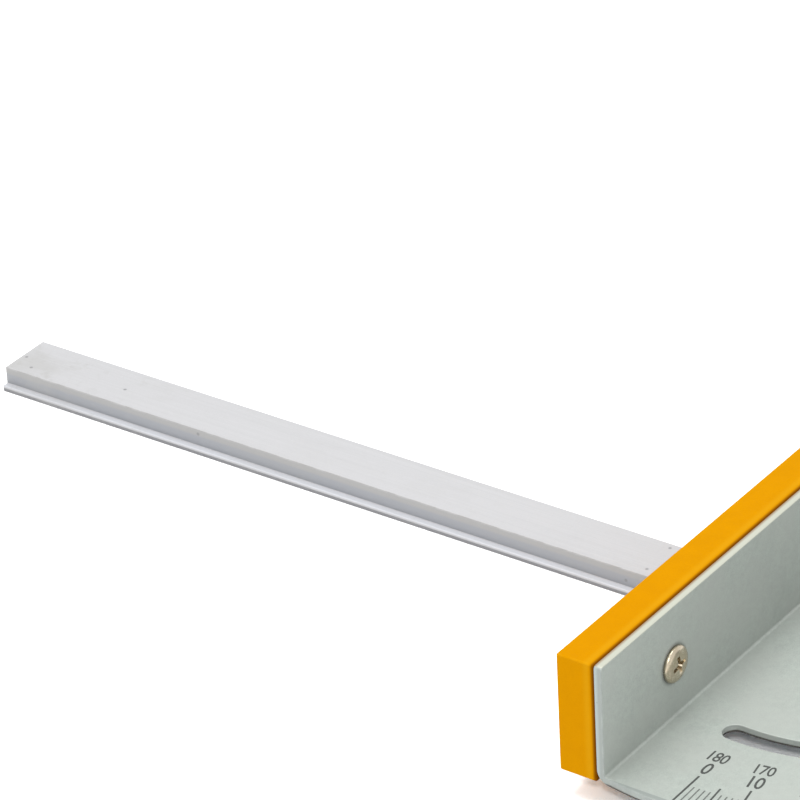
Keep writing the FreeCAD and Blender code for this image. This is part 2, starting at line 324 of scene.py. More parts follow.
def bar_finish(colours):
    """Extruded aluminium: long die lines, faint stains, nicks and paler worn edges; the rib sides are painted darker as
    shade, most towards the flange, the flange top is painted lighter as a highlight and the flange foot is painted dark
    as shade.
    """
    base = colours.bar
    finish = Finish("mill_aluminium", Metallic=0.12, Specular_IOR_Level=0.3)
    x, y, z = finish.axes
    die_lines = finish.noise(0.5, 3, 0.6, finish.moved((1, 0.006, 1)))
    fine_lines = finish.noise(0.16, 2, 0.6, finish.moved((1, 0.012, 1)))
    stain = finish.noise(14, 5, 0.62, finish.moved((1, 0.45, 1))).rise(0.45, 0.72)
    grime_and_contact_shadow = finish.noise(5, 5, 0.7).rise(0.5, 0.8)
    tip = y.rise(0.235, 0.31)
    grain = finish.noise(0.7, 4, 0.7)
    # Rib side faces: painted darker as shade.
    side = abs(x).ramp(9.2, 9.45) * z.ramp(2.05, 2.3)
    # Flange top and upper outer edge: painted lighter and bluer as a highlight.
    flange = abs(x).ramp(9.6, 9.9) * z.ramp(1.6, 1.85)
    # Lower part of the flange's outer face: painted dark as shade next to the floor.
    foot = abs(x).ramp(11.2, 11.4) * (1 - z.ramp(1.0, 1.45))
    sawn = abs(y - (BAR_LOW.y + BAR_HIGH.y) / 2).ramp(224.7, 224.9)
    blade = finish.noise(0.4, 2, 0.6, finish.moved((0.15, 1, 1), (0, 0, 0), (0, 0.25, 0)))
    nick = finish.spots(16, 0.3, finish.moved((1, 0.7, 1))) * 0.6
    for place in BAR_DENTS:
        nick = nick.larger(1 - finish.away(place).ramp(0.3, 0.75))
    wear = finish.near_edges((-9.5 * MM, BAR_LOW.y, -MM), (9.5 * MM, BAR_HIGH.y, BAR_HIGH.z), 0.7 * MM) * \
        finish.noise(4, 4).rise(0.4, 0.65)
    tone = finish.blend((die_lines * 0.55 + grain * 0.45).rise(0.25, 0.75), shade(base, 0.95), shade(base, 1.04))
    # Painted shade on the rib sides, darker towards the flange.
    rib_side_shade = finish.blend(z.ramp(5.0, 6.2), tinted(base, 0.64, 0.66, 0.69), tinted(base, 0.72, 0.715, 0.69))
    tone = finish.layered(tone,
        # painted shade on the rib sides, streaked by die lines and grime
        (side, finish.blend((die_lines * 0.5 + grime_and_contact_shadow * 0.3).rise(0.3, 0.9), rib_side_shade, tinted(base, 0.60, 0.60, 0.58))),
        # painted highlight on the flange top
        (flange, tinted(base, 1.12, 1.14, 1.18)),
        # painted shade at the flange foot
        (foot, tinted(base, 0.42, 0.42, 0.43)),
        (stain * (0.14 + tip * 0.45), tinted(base, 0.82, 0.815, 0.78)),
        (grime_and_contact_shadow * (0.12 + tip * 0.6), tinted(base, 0.78, 0.775, 0.73)),
        (sawn * 0.6, finish.blend(blade.rise(0.3, 0.7), shade(base, 0.75), shade(base, 1.1))),
        (wear * 0.35, shade(base, 1.12)),
        (nick * 0.75, shade(base, 0.45)))
    rough = 0.42 + fine_lines * 0.12 + stain * 0.10 + grain * 0.05 - wear * 0.08
    height = die_lines * 0.45 + fine_lines * 0.2 + grain * 0.2 + sawn * blade * 2.0 - nick * 2.0
    return finish.feed(tone, rough, height, 0.02 * MM)


def coat_finish(colours, sizes):
    """Sprayed silver-grey coat: flakes, faint orange peel, dust specks and worn edges; a painted highlight on the
    wall's top face, painted shade on the other cut faces, painted contact shadow round the screw heads and a painted
    shadow line along the lower edges.
    """
    base = colours.coat
    finish = Finish("silver_coat", Metallic=0.15, Specular_IOR_Level=0.35)
    x, y, z = finish.axes
    bottom, top = BRACKET_LOW.z, BRACKET_LOW.z + sizes.sheet
    back, crest = BRACKET_HIGH.yz
    wall = back - sizes.sheet
    flake = finish.noise(0.36, 2, 0.6)
    mottle = finish.noise(1.6, 4, 0.62)
    cloud = finish.noise(22, 4, 0.55)
    speck = finish.spots(8, 0.34)
    around = finish.from_axis(0, 0)
    rim = (1 - abs(around - RIM_RADIUS).ramp(0.2, 0.9)) * (1 - z.rise(top + 0.2 * MM, top + 0.6 * MM))
    corner = finish.near_edges((-HALF_HEAD, wall, -0.1), (HALF_HEAD, back, crest), 0.8 * MM) \
        * z.rise(top + 0.6 * MM, top + 2 * MM)
    wear = rim.larger(corner) * finish.noise(3.5, 5, 0.65).rise(0.38, 0.66)
    # Wall's top face: painted lighter as a highlight, and beside the board painted orange-brown as shade.
    top_cut = z.rise(crest - 0.36 * MM, crest - 0.14 * MM)
    # End and rim cut faces: painted darker as shade, lighter towards the wall's outer face as a painted highlight.
    end_cut = abs(x).rise(HALF_HEAD - 0.34 * MM, HALF_HEAD - 0.12 * MM)
    rim_cut = around.rise(RIM_RADIUS - 0.34 * MM, RIM_RADIUS - 0.12 * MM) * (1 - z.rise(top - 0.3 * MM, top))
    half = sizes.slot_width / 2
    slot_wall = abs(abs(around - sizes.slot_radius) - half)
    for angle in (radians(2.5), radians(177.5)):
        end = finish.from_axis(sizes.slot_radius * cos(angle), sizes.slot_radius * sin(angle))
        slot_wall = slot_wall.smaller(abs(end - half))
    # Painted contact shadow: a dark ring round each board screw head on the wall.
    grime_and_contact_shadow = 0.0
    for centre, radius in BOARD_SCREWS.values():
        grime_and_contact_shadow = (1 - finish.away((centre.x, wall, centre.z)).rise(radius * 0.98, radius * 1.24)) + grime_and_contact_shadow
    # Painted shadow line along the lower edge of the slot walls, the rim and the end faces.
    lower_edge_shadow = (1 - slot_wall.ramp(0.3, 0.6)).larger(rim_cut).larger(end_cut) * \
        (1 - z.rise(bottom + 0.45 * MM, bottom + 1.05 * MM))
    tone = finish.blend((flake * 0.5 + mottle * 0.5).rise(0.32, 0.68), shade(base, 0.89), shade(base, 1.09))
    tone = finish.blend(cloud.rise(0.35, 0.65) * 0.6, tone, tinted(base, 1.04, 1.0, 1.01))
    # Painted highlight across the wall's thickness, towards its outer face.
    outer_face_highlight = y.rise(wall + 0.9 * MM, back - 0.5 * MM)
    tone = finish.layered(tone,
        # painted shade on the cut faces with a painted highlight towards the outer face
        (end_cut.larger(rim_cut),
         finish.blend(outer_face_highlight, tinted(base, 0.74, 0.74, 0.76), tinted(base, 0.93, 0.97, 1.03))),
        (wear * 0.22, tinted(base, 1.3, 1.28, 1.3)),
        # painted highlight on the wall's top face, turning to painted orange-brown shade beside the board
        (top_cut, finish.blend(y.rise(back - 1.3 * MM, back - 0.2 * MM),
                               tinted(base, 1.2, 1.12, 1.02), tinted(base, 0.75, 0.5, 0.34))),
        (speck * 0.5, shade(base, 0.55)),
        # painted contact shadow round the screw heads
        (grime_and_contact_shadow * 0.6, tinted(base, 0.3, 0.29, 0.29)),
        # painted shadow line along the lower edges
        (lower_edge_shadow * 0.92, (0.02, 0.014, 0.010)))
    rough = 0.42 + mottle * 0.1 + (1 - flake) * 0.08 - wear * 0.1
    height = mottle * 0.6 + flake * 0.3 + speck * 0.8
    return finish.feed(tone, rough, height, 0.022 * MM)


def board_finish(colours):
    """Orange board: satin coat with a fine grain and slight mottling, paler edges that are partly wear and partly
    painted highlight, a painted highlight line near the back and a painted shadow along the seam at the back.
    """
    base = colours.board
    low, high = BOX["fence_board"]
    finish = Finish("orange_board", Specular_IOR_Level=0.01, Specular_Tint=(1.0, 0.6, 0.0, 1.0))
    depth = finish.axes[1] - low.y
    grain = finish.noise(0.5, 3, 0.6)
    mottle = finish.noise(6, 4, 0.6)
    wide = finish.noise(45, 3)
    edge = finish.near_edges(low, high, 1.1 * MM)
    # Paler edges: partly wear, partly painted highlight.
    wear_and_highlight = edge * finish.noise(5, 5, 0.6).rise(0.35, 0.7)
    # Painted shadow along the seam where the board meets the wall.
    seam_shadow = 1 - depth.ramp(0.3, 1.5)
    # Painted highlight: a lighter line just in from the back edge.
    back_edge_highlight = depth.ramp(1.2, 2.1) * (1 - depth.ramp(2.4, 4.2))
    tone = finish.blend((grain * 0.5 + mottle * 0.5).rise(0.3, 0.7), shade(base, 0.95), tinted(base, 1.03, 1.05, 1.0))
    tone = finish.layered(tone,
        (wide.rise(0.35, 0.7) * 0.35, tinted(base, 0.98, 0.93, 1.0)),
        # painted highlight line near the back edge
        (back_edge_highlight * 0.5, (base[0] * 1.05, base[1] * 1.22, 0.004)),
        # paler edges, partly wear and partly painted highlight
        (wear_and_highlight * 0.45, (base[0] * 1.06, base[1] * 1.2, 0.006)),
        # painted shadow along the back seam
        (seam_shadow * 0.9, (base[0] * 0.25, base[1] * 0.15, 0.0)))
    rough = 0.5 + mottle * 0.12 - wear_and_highlight * 0.1
    return finish.feed(tone, rough, grain * 0.6 + mottle * 0.5, 0.02 * MM)


def plated_finish(name, base, centre, shine):
    """Plated steel: a cloudy film, hairline scratches and dull pits."""
    finish = Finish(name, Metallic=1.0)
    cloud = finish.noise(2.2, 4, 0.6)
    crystal = finish.noise(0.5, 3, 0.7)
    scratch = finish.noise(0.12, 2, 0.7, finish.moved((1, 0.08, 1), centre, (0.3, 0.2, 0.7)))
    turning = finish.noise(0.10, 1, 0.5, finish.moved((0.1, 0.1, 1), centre))
    film = cloud.rise(0.35, 0.7)
    pit = finish.spots(1.9, 0.12)
    tone = finish.blend(film, shade(base, 1.08), tinted(base, 0.86, 0.83, 0.77))
    tone = finish.layered(tone,
        (crystal.rise(0.4, 0.7) * 0.35, shade(base, 1.2)),
        (pit * 0.7, shade(base, 0.35)))
    rough = shine + film * 0.10 + scratch * 0.10
    return finish.feed(tone, rough, crystal * 0.35 + scratch * 0.3 + turning * 0.25 - pit, 0.009 * MM)


def moulded_finish(name, base, gloss, centre):
    """Moulded plastic: spark-eroded grain, handling wear on what stands out (smoother, and painted lighter as a sheen)
    and a little dust.
    """
    finish = Finish(name, Specular_IOR_Level=0.5)
    grain = finish.noise(0.28, 3, 0.65)
    flow = finish.noise(9, 4, 0.5)
    dust = finish.noise(1.3, 6, 0.8).rise(0.58, 0.78)
    # Outer lobes: smoother from handling, and painted lighter as a sheen.
    handling_wear_and_sheen = finish.from_axis(centre[0], centre[1]).ramp(14.2, 15.8)
    tone = finish.blend(grain.rise(0.3, 0.7), shade(base, 0.8), shade(base, 1.3))
    tone = finish.layered(tone,
        (dust * 0.12, (0.20, 0.19, 0.17)),
        # painted sheen on the handled lobes
        (handling_wear_and_sheen * flow.rise(0.4, 0.7) * 0.4, shade(base, 2.0)))
    rough = gloss + grain * 0.12 - handling_wear_and_sheen * 0.1 + dust * 0.12
    return finish.feed(tone, rough, grain * 0.7 + flow * 0.4, (0.03 if gloss > 0.3 else 0.006) * MM)


def nylon_finish(colours):
    """Nylon ring: milky, with faint mould lines."""
    base = colours.nylon
    finish = Finish("nylon", Specular_IOR_Level=0.5, Subsurface_Weight=0.15, Subsurface_Scale=0.001)
    grain = finish.noise(0.3, 3, 0.6)
    cloud = finish.noise(2, 3, 0.6)
    tone = finish.blend((grain * 0.4 + cloud * 0.6).rise(0.3, 0.7), shade(base, 0.85), shade(base, 1.08))
    return finish.feed(tone, 0.38 + grain * 0.15, grain + cloud * 0.5, 0.01 * MM)


def ink_finish(name, base):
    """Screen-printed ink: slightly uneven cover with pinholes."""
    finish = Finish(name, Specular_IOR_Level=0.3)
    cover = finish.noise(0.5, 3, 0.6)
    worn = finish.noise(0.22, 3, 0.7).rise(0.58, 0.75)
    tone = finish.blend(cover.rise(0.3, 0.75), shade(base, 0.8), shade(base, 1.5))
    tone = finish.blend(worn * 0.35, tone, (0.26, 0.28, 0.26))
    return finish.feed(tone, 0.5 + cover * 0.2, cover + worn * 0.5, 0.006 * MM)


def floor_finish(colours):
    """Matt studio floor with a barely seen unevenness."""
    base = colours.floor
    finish = Finish("studio_floor", Specular_IOR_Level=0.1, Emission_Color=(0.01, 0.013, 0.022, 1.0),
                    Emission_Strength=1.0)
    cloud = finish.noise(400, 2)
    tone = finish.blend(cloud, shade(base, 0.99), shade(base, 1.01))
    return finish.feed(tone, 0.85 + cloud * 0.05, finish.noise(1.2, 2), 0.004 * MM)


# --- Modelling steps --------------------------------------------------------------------------------


def activate(piece):
    """Makes a piece the only thing selected."""
    if bpy.context.object and bpy.context.object.mode != "OBJECT":
        bpy.ops.object.mode_set(mode="OBJECT")
    for thing in bpy.context.view_layer.objects:
        thing.select_set(False)
    bpy.context.view_layer.objects.active = piece
    if piece:
        piece.select_set(True)


def settle(name):
    """Names what was just added and puts its place into its mesh."""
    piece = bpy.context.object
    piece.name = piece.data.name = name
    bpy.ops.object.transform_apply(location=True, rotation=True, scale=True)
    return piece


def select_all():
    bpy.ops.mesh.select_all(action="SELECT")


@contextmanager
def editing(piece):
    activate(piece)
    bpy.ops.object.mode_set(mode="EDIT")
    bpy.ops.mesh.select_mode(type="VERT")
    select_all()
    yield
    bpy.ops.object.mode_set(mode="OBJECT")


def pick(piece, kind, test):
    """Selects the faces, edges or corners of a piece in edit mode that pass a test."""
    bpy.ops.mesh.select_mode(type=kind)
    bpy.ops.mesh.select_all(action="DESELECT")
    mesh = bmesh.from_edit_mesh(piece.data)
    parts = {"FACE": mesh.faces, "EDGE": mesh.edges, "VERT": mesh.verts}[kind]
    chosen = [part for part in parts if test(part)]
    if not chosen:
        raise RuntimeError(f"nothing to select on {piece.name}")
    for part in chosen:
        part.select_set(True)
    bmesh.update_edit_mesh(piece.data)


def heal(threshold):
    """Merges doubled corners of the mesh in edit mode and turns its faces outwards."""
    select_all()
    bpy.ops.mesh.remove_doubles(threshold=threshold)
    bpy.ops.mesh.normals_make_consistent(inside=False)


def scaled(by, centre, along=None):
    """Scales what is selected across an upright axis, or by two factors."""
    bpy.ops.transform.resize(value=(by, by if along is None else along, 1), center_override=centre)


def rounded(width, steps):
    """Bevels the selected edges."""
    bpy.ops.mesh.bevel(offset=width, segments=steps, affect="EDGES")


def remove_faces(piece, test):
    pick(piece, "FACE", test)
    bpy.ops.mesh.delete(type="FACE")


def about_z(angle):
    return Matrix.Rotation(angle, 4, "Z")


def rise_of(edge):
    return abs((edge.verts[0].co - edge.verts[1].co).z)


def middle(part):
    return sum((corner.co for corner in part.verts), Vector()) / len(part.verts)


def block(name, low, high):
    activate(None)
    low, high = Vector(low), Vector(high)
    bpy.ops.mesh.primitive_cube_add(size=1, location=(low + high) / 2, scale=high - low)
    return settle(name)


def rod(name, radius, low, high, sides=48):
    """An upright rod, or a prism with few sides, between two points one above the other."""
    activate(None)
    low, high = Vector(low), Vector(high)
    bpy.ops.mesh.primitive_cylinder_add(vertices=sides, radius=radius, depth=(high - low).length,
                                        location=(low + high) / 2)
    return settle(name)


def extrude(travel):
    bpy.ops.mesh.extrude_region_move(TRANSFORM_OT_translate={"value": travel})


def disc(name, centre, radius, sides, fill="NGON"):
    activate(None)
    bpy.ops.mesh.primitive_circle_add(vertices=sides, radius=radius, fill_type=fill, location=centre)
    return settle(name)


def turned(name, base, stations, sides=64, hollow=False):
    """A turned piece: a circle drawn up and scaled through (radius, height) stations above base."""
    base = Vector(base)
    radius, height = stations[0]
    circle = disc(name, base + Vector((0, 0, height)), radius, sides, "NOTHING" if hollow else "NGON")
    return drawn_up(circle, base, stations + (stations[:1] if hollow else []))


def drawn_up(piece, base, stations):
    """Draws a flat outline up and scales it about an upright axis through (radius, height) stations."""
    with editing(piece):
        for (radius, height), (next_radius, next_height) in zip(stations, stations[1:]):
            extrude((0, 0, next_height - height))
            scaled(next_radius / radius, base + Vector((0, 0, next_height)))
        heal(1e-6)
    return piece


def modify(piece, kind, **settings):
    """Adds a modifier, sets it and applies it."""
    activate(piece)
    bpy.ops.object.modifier_add(type=kind)
    modifier = piece.modifiers[-1]
    for name, value in settings.items():
        setattr(modifier, name, value)
    bpy.ops.object.modifier_apply(modifier=modifier.name)


def carve(piece, tool, operation="DIFFERENCE"):
    """Cuts a piece with another one, which is used up."""
    modify(piece, "BOOLEAN", operation=operation, solver="EXACT", object=tool)
    bpy.data.objects.remove(tool, do_unlink=True)


def round_edges(piece, width, steps=3, sharper=35):
    """Rounds every edge sharper than an angle and shades the piece smooth between flat faces."""
    if width:
        modify(piece, "BEVEL", width=width, segments=steps, limit_method="ANGLE",
               angle_limit=radians(sharper), use_clamp_overlap=False)
    activate(piece)
    bpy.ops.object.shade_smooth_by_angle(angle=radians(40))
    modify(piece, "WEIGHTED_NORMAL", keep_sharp=True)


def laid(piece, matrix):
    """Moves or turns a finished shape and puts its new place into its mesh."""
    activate(piece)
    piece.matrix_world = matrix
    bpy.ops.object.transform_apply(location=True, rotation=True, scale=True)
    return piece


def joined(pieces, name):
    """Makes one piece of several."""
    activate(pieces[0])
    for piece in pieces:
        piece.select_set(True)
    if len(pieces) > 1:
        bpy.ops.object.join()
    pieces[0].name = pieces[0].data.name = name
    return pieces[0]


def finished(piece, body, slot, material, *nodes):
    """Gives a piece its finish and its body, and hides the CAD nodes that it stands for."""
    piece.data.materials.clear()
    piece.data.materials.append(material)
    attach(piece, body)
    if nodes:
        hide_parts(*nodes)
    return piece


def repaint(node, material):
    """Gives a CAD node that stays a better finish."""
    mesh = frame["nodes"][node].data
    if not mesh.materials:
        mesh.materials.append(material)
    for index in range(len(mesh.materials)):
        mesh.materials[index] = material


def pan_screw(name, head_radius, head_height, shank_radius, total, turn):
    """A pan-head screw with a tapered cross recess, standing on the origin with its head up."""
    r, h = head_radius, head_height
    tip = -(total - 1.2 * MM)
    stations = [(shank_radius * 0.45, -total), (shank_radius, tip)]
    pitch = 0.9 * MM
    level = tip
    while level + pitch < -0.6 * MM:
        stations += [(shank_radius, level + pitch * 0.2), (shank_radius * 0.82, level + pitch * 0.55),
                     (shank_radius, level + pitch * 0.9)]
        level += pitch
    stations += [(shank_radius, 0), (r * 0.97, 0), (r, 0.12 * h), (r, 0.36 * h), (r * 0.975, 0.52 * h),
                 (r * 0.91, 0.68 * h), (r * 0.80, 0.82 * h), (r * 0.64, 0.92 * h), (r * 0.42, 0.98 * h),
                 (r * 0.12, h)]
    screw = turned(name, (0, 0, 0), stations, 56)
    for wide, thick, foot, taper, slim, angle in ((0.62, 0.13, 0.1, 0.5, 0.62, 0), (0.62, 0.13, 0.1, 0.5, 0.62, pi / 2),
                                                  (0.24, 0.24, 0.05, 0.6, 0.6, pi / 4)):
        cutter = block("cutter", (-r * wide, -r * thick, h * foot), (r * wide, r * thick, h * 1.2))
        with editing(cutter):
            pick(cutter, "FACE", lambda face: face.normal.z < -0.5)
            scaled(taper, (0, 0, h * foot), slim)
        carve(screw, laid(cutter, about_z(turn + angle)))
    round_edges(screw, 0.05 * MM, 2, 38)
    return screw


# --- Pieces -----------------------------------------------------------------------------------------


class GAUGE_OT_guide_bar(bpy.types.Operator):
    """Models the T-section guide bar, with its bolt holes"""

    bl_idname = "gauge.guide_bar"
    bl_label = "Guide Bar"

    def execute(self, context):
        sizes = context.scene.gauge_sizes
        half_rib = sizes.rib_width / 2
        bar = block("guide_bar", BAR_LOW, (BAR_HIGH.x, BAR_HIGH.y, sizes.flange_height))
        with editing(bar):
            for side in (-half_rib, half_rib):
                select_all()
                bpy.ops.mesh.bisect(plane_co=(side, 0, 0), plane_no=(1, 0, 0))
            pick(bar, "FACE", lambda face: face.normal.z > 0.5 and abs(middle(face).x) < half_rib)
            extrude((0, 0, BAR_HIGH.z - sizes.flange_height))
        head = BAR_LOW.z - 0.001 * MM
        bolt = BOX["pivot_bolt"][1].x + 0.05 * MM
        carve(bar, turned("tool", (0, 0, head), [(bolt, -MM), (bolt, 0), (bolt / 2, bolt / 2), (bolt / 2, 0.02)]))
        carve(bar, rod("tool", 3 * MM, (0, -sizes.slot_radius, -0.01), (0, -sizes.slot_radius, 0.02)))
        screw = (BOX["pointer_screw"][0] + BOX["pointer_screw"][1]) / 2
        carve(bar, rod("tool", 2.05 * MM, (0, screw.y, -0.01), (0, screw.y, 0.02)))
        round_edges(bar, sizes.bar_rounding)
        finished(bar, "bar", "bar_aluminium", bar_finish(context.scene.gauge_colours), "mitre_bar")
        return {"FINISHED"}


class GAUGE_OT_bracket(bpy.types.Operator):
    """Bends the half-round sheet head up into its wall and cuts its slot and holes"""

    bl_idname = "gauge.bracket"
    bl_label = "Protractor Bracket"

    def execute(self, context):
        sizes = context.scene.gauge_sizes
        bottom, top = BRACKET_LOW.z, BRACKET_LOW.z + sizes.sheet
        wall = BRACKET_HIGH.y - sizes.sheet
        chord = BRACKET_HIGH.y - sizes.bend_outside
        bracket = rod("head_bracket", RIM_RADIUS, (0, 0, bottom), (0, 0, top), 384)
        with editing(bracket):
            bpy.ops.mesh.bisect(plane_co=(0, chord, 0), plane_no=(0, 1, 0), use_fill=True, clear_outer=True)
            pick(bracket, "FACE", lambda face: face.normal.y > 0.999 and middle(face).y > chord - 0.01 * MM)
            extrude((0, wall - chord, 0))
            extrude((0, sizes.sheet, 0))
            pick(bracket, "FACE", lambda face: face.normal.z > 0.5 and middle(face).y > wall)
            extrude((0, 0, BRACKET_HIGH.z - top))
            select_all()
            bpy.ops.mesh.dissolve_limited(angle_limit=radians(0.1))
            for y, z, radius, steps in ((BRACKET_HIGH.y, bottom, sizes.bend_outside * 0.9995, 12),
                                        (wall, top, sizes.bend_inside, 4)):
                pick(bracket, "EDGE", lambda edge: (middle(edge) - Vector((0, y, z))).length < 0.01 * MM)
                rounded(radius, steps)
            pick(bracket, "EDGE", lambda edge: middle(edge).z > BRACKET_HIGH.z - 0.01 * MM
                 and abs(middle(edge).x) > HALF_HEAD - 0.1 * MM)
            rounded(sizes.wall_corner, 6)
            heal(5e-6)
        self.cut_slot(bracket, sizes, bottom, top)
        carve(bracket, rod("tool", 5.55 * MM, (0, 0, bottom - MM), (0, 0, top + MM), 64))
        for centre, _ in BOARD_SCREWS.values():
            hole = rod("tool", 2.6 * MM, (0, 0, -5 * MM), (0, 0, 5 * MM))
            carve(bracket, laid(hole, Matrix.Translation((centre.x, BRACKET_HIGH.y, centre.z)) @ QUARTER))
        round_edges(bracket, sizes.sheet_rounding)
        coat = coat_finish(context.scene.gauge_colours, sizes)
        finished(bracket, "head", "bracket_sheet", coat, "protractor_bracket")
        return {"FINISHED"}

    @staticmethod
    def cut_slot(bracket, sizes, bottom, top):
        """Sweeps a block round the pivot to clear the arc and then opens its round ends."""
        half = sizes.slot_width / 2
        start = radians(177.5)
        sweep = radians(185)
        sector = block("tool", (sizes.slot_radius - half, -MM, bottom - MM),
                       (sizes.slot_radius + half, 0, top + MM))
        with editing(sector):
            remove_faces(sector, lambda face: face.normal.y < -0.5)
            remove_faces(sector, lambda face: face.normal.y < 0.5)
            select_all()
            bpy.ops.mesh.spin(steps=120, angle=sweep, center=(0, 0, 0), axis=(0, 0, -1))
            heal(1e-7)
        laid(sector, about_z(start))
        carve(bracket, sector)
        for angle in (start, start + sweep):
            end = rod("tool", half, (0, 0, bottom - MM), (0, 0, top + MM), 48)
            place = about_z(angle) @ Matrix.Translation((sizes.slot_radius, 0, 0))
            carve(bracket, laid(end, place @ about_z(pi / 2)))


class GAUGE_OT_facing_board(bpy.types.Operator):
    """Models the orange facing board with its pilot holes"""

    bl_idname = "gauge.facing_board"
    bl_label = "Facing Board"

    def execute(self, context):
        sizes = context.scene.gauge_sizes
        low, high = BOX["fence_board"]
        board = block("facing_board", low, high)
        with editing(board):
            rounded(sizes.board_rounding, 4)
        for centre, _ in BOARD_SCREWS.values():
            pilot = rod("tool", 2.15 * MM, (0, 0, -11 * MM), (0, 0, 0), 32)
            carve(board, laid(pilot, Matrix.Translation((centre.x, low.y - MM, centre.z)) @ QUARTER))
        round_edges(board, 0)
        finished(board, "head", "orange_board", board_finish(context.scene.gauge_colours), "fence_board")
        return {"FINISHED"}


class GAUGE_OT_board_screws(bpy.types.Operator):
    """Models the cross-recess screws that hold the board"""

    bl_idname = "gauge.board_screws"
    bl_label = "Board Screws"

    def execute(self, context):
        wall = BRACKET_HIGH.y - context.scene.gauge_sizes.sheet
        for (node, (centre, radius)), degrees in zip(BOARD_SCREWS.items(), (12, 38)):
            low, high = BOX[node]
            name = node.replace("fence", "board")
            seat = (centre.x, wall, centre.z)
            screw = pan_screw(name, radius, wall - low.y, 2.1 * MM, high.y - wall, radians(degrees))
            laid(screw, Matrix.Translation(seat) @ QUARTER)
            metal = plated_finish("nickel_plate_" + name, context.scene.gauge_colours.nickel, seat, 0.2)
            finished(screw, "head", "nickel_screw", metal, node)
        return {"FINISHED"}


class GAUGE_OT_scale(bpy.types.Operator):
    """Prints the protractor's marks and both rows of numbers on the plate"""

    bl_idname = "gauge.scale"
    bl_label = "Printed Scale"

    def execute(self, context):
        sizes = context.scene.gauge_sizes
        ink = context.scene.gauge_colours.ink
        dark = ink_finish("scale_ink", ink)
        pale = ink_finish("scale_fine_ink", shade(ink, 2.2))
        top = BRACKET_LOW.z + sizes.sheet
        rows = (("scale_long_marks", sizes.long_mark, 0.64 * MM, [0], 18, 180, dark),
                ("scale_middle_marks", sizes.middle_mark, 0.58 * MM, [5], 17, 170, dark),
                ("scale_short_marks", sizes.short_mark, 0.42 * MM, [1, 2, 3, 4], 35, 175, pale))
        for name, inner, width, first, steps, sweep, material in rows:
            marks = self.mark_row(name, inner, sizes.mark_end, width, top, sizes.print_height, first)
            with editing(marks):
                bpy.ops.mesh.spin(steps=steps, dupli=True, angle=radians(sweep), center=(0, 0, 0),
                                  axis=(0, 0, -1))
            finished(marks, "head", "bracket_sheet", material)
        for name, radius, height, squeeze, flipped in (
                ("scale_outer_numbers", 87.4 * MM, sizes.outer_digits, 0.72, False),
                ("scale_inner_numbers", 81.1 * MM, sizes.inner_digits, 0.74, True)):
            numbers = self.number_row(name, radius, height, squeeze, flipped, top, sizes.print_height)
            finished(numbers, "head", "bracket_sheet", dark)
        return {"FINISHED"}

    @staticmethod
    def mark_row(name, inner, outer, width, top, thick, first):
        """The first marks of a row, with square-cut ends, lying along their angles from the pivot."""
        marks = []
        for angle in first:
            mark = block(name, (-outer, -width / 2, top), (-inner, width / 2, top + thick))
            with editing(mark):
                pick(mark, "EDGE", lambda edge: rise_of(edge) > thick / 2)
                rounded(width * 0.18, 1)
            marks.append(laid(mark, about_z(radians(angle))))
        return joined(marks, name)

    @staticmethod
    def number_row(name, radius, height, squeeze, flipped, top, thick):
        """Numbers at every ten degrees, their heads towards the pivot."""
        labels = []
        for angle in range(0, 181, 10):
            activate(None)
            bpy.ops.object.text_add()
            words = bpy.context.object
            words.data.body = str(180 - angle if flipped else angle)
            words.data.extrude = 0.05
            words.data.resolution_u = 3
            words.data.space_character = 0.93
            words.data.offset = 0.012
            bpy.ops.object.convert(target="MESH")
            label = bpy.context.object
            corners = [Vector(corner) for corner in label.bound_box]
            low = Vector(map(min, *corners))
            high = Vector(map(max, *corners))
            size = high - low
            tall = height / size.y
            turn = radians(angle)
            spot = Matrix.Translation((-radius * cos(turn), -radius * sin(turn), top + thick / 2))
            fit = Matrix.Diagonal((tall * squeeze, tall, thick / size.z, 1))
            laid(label, spot @ about_z(turn - pi / 2) @ fit
                 @ Matrix.Translation(-(low + high) / 2))
            labels.append(label)
        numbers = joined(labels, name)
        with editing(numbers):
            heal(1e-7)
        return numbers


